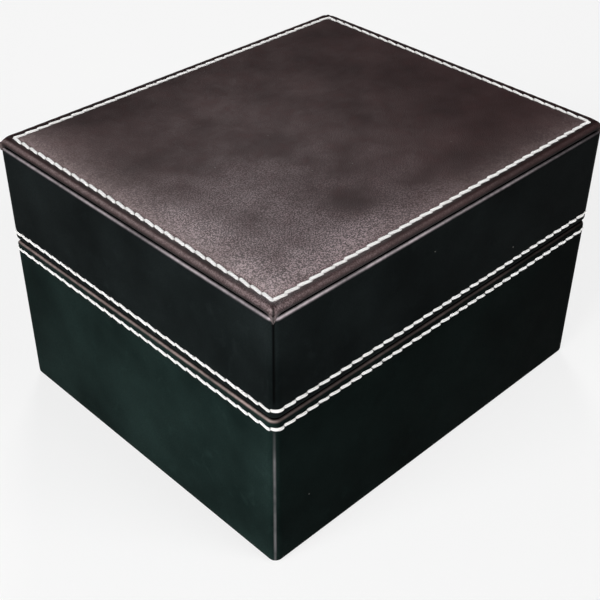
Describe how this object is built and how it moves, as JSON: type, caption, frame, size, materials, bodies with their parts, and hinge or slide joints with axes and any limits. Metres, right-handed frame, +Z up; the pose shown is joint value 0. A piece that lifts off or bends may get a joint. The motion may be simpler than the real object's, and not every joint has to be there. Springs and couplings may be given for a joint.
{
  "type": "pocket watch display box",
  "caption": "Leatherette-wrapped pocket watch display box with contrast stitching, a padded lid on a hidden back hinge, velvet lining and a lift-out pad with a round watch recess.",
  "frame": {"origin": "middle of the underside, on the surface the box stands on", "axes": "+X to the right along the front, +Y to the back where the hinges are, +Z up"},
  "size_m": [0.1182, 0.1006, 0.0761],
  "materials": {
    "leatherette_side": "very dark brown smooth leatherette, satin",
    "leatherette_top": "dark brown fine-grained padded leatherette, satin",
    "thread": "thick off-white polyester thread",
    "board": "raw fibreboard",
    "velvet": "short-pile cream velvet on card",
    "satin": "cream satin over foam",
    "pad_velvet": "short-pile cream velvet over foam",
    "felt": "black felt",
    "steel": "plain steel",
    "brass": "satin brass",
    "foam": "thin sheet foam",
    "ribbon": "dark brown satin ribbon"
  },
  "bodies": {
    "base": {"base_felt": "felt", "base_floor_board": "board", "base_front_board": "board", "base_back_board": "board", "base_left_board": "board", "base_right_board": "board", "base_wrap": "leatherette_side", "base_rim_stitching": "thread", "base_magnets": "steel", "lining_front": "velvet", "lining_back": "velvet", "lining_left": "velvet", "lining_right": "velvet", "floor_lining": "velvet", "ledge_left": "board", "ledge_right": "board", "base_hinge_leaves": "brass", "base_hinge_brads": "steel", "hinge_pins": "steel"},
    "lid": {"lid_front_board": "board", "lid_back_board": "board", "lid_left_board": "board", "lid_right_board": "board", "lid_top_board": "board", "lid_wrap": "leatherette_side", "lid_rim_stitching": "thread", "lid_magnets": "steel", "lid_lining_front": "velvet", "lid_lining_back": "velvet", "lid_lining_left": "velvet", "lid_lining_right": "velvet", "lid_lining_pad": "satin", "lid_hinge_leaves": "brass", "lid_hinge_brads": "steel", "top_panel_card": "board", "top_panel_foam": "foam", "top_panel_cover": "leatherette_top", "top_panel_stitching": "thread"},
    "watch_insert": {"pad_board": "board", "watch_pad": "pad_velvet", "recess_disc": "pad_velvet", "ribbon_tab": "ribbon"}
  },
  "joints": [
    {"name": "lid_hinge", "type": "hinge", "parent": "base", "child": "lid", "pos_m": [0, 0.0484, 0.0459], "axis": [-1, 0, 0], "range_deg": [0, 92]},
    {"name": "pad_lift", "type": "slide", "parent": "base", "child": "watch_insert", "axis": [0, 0, 1], "range_m": [0, 0.01]}
  ]
}
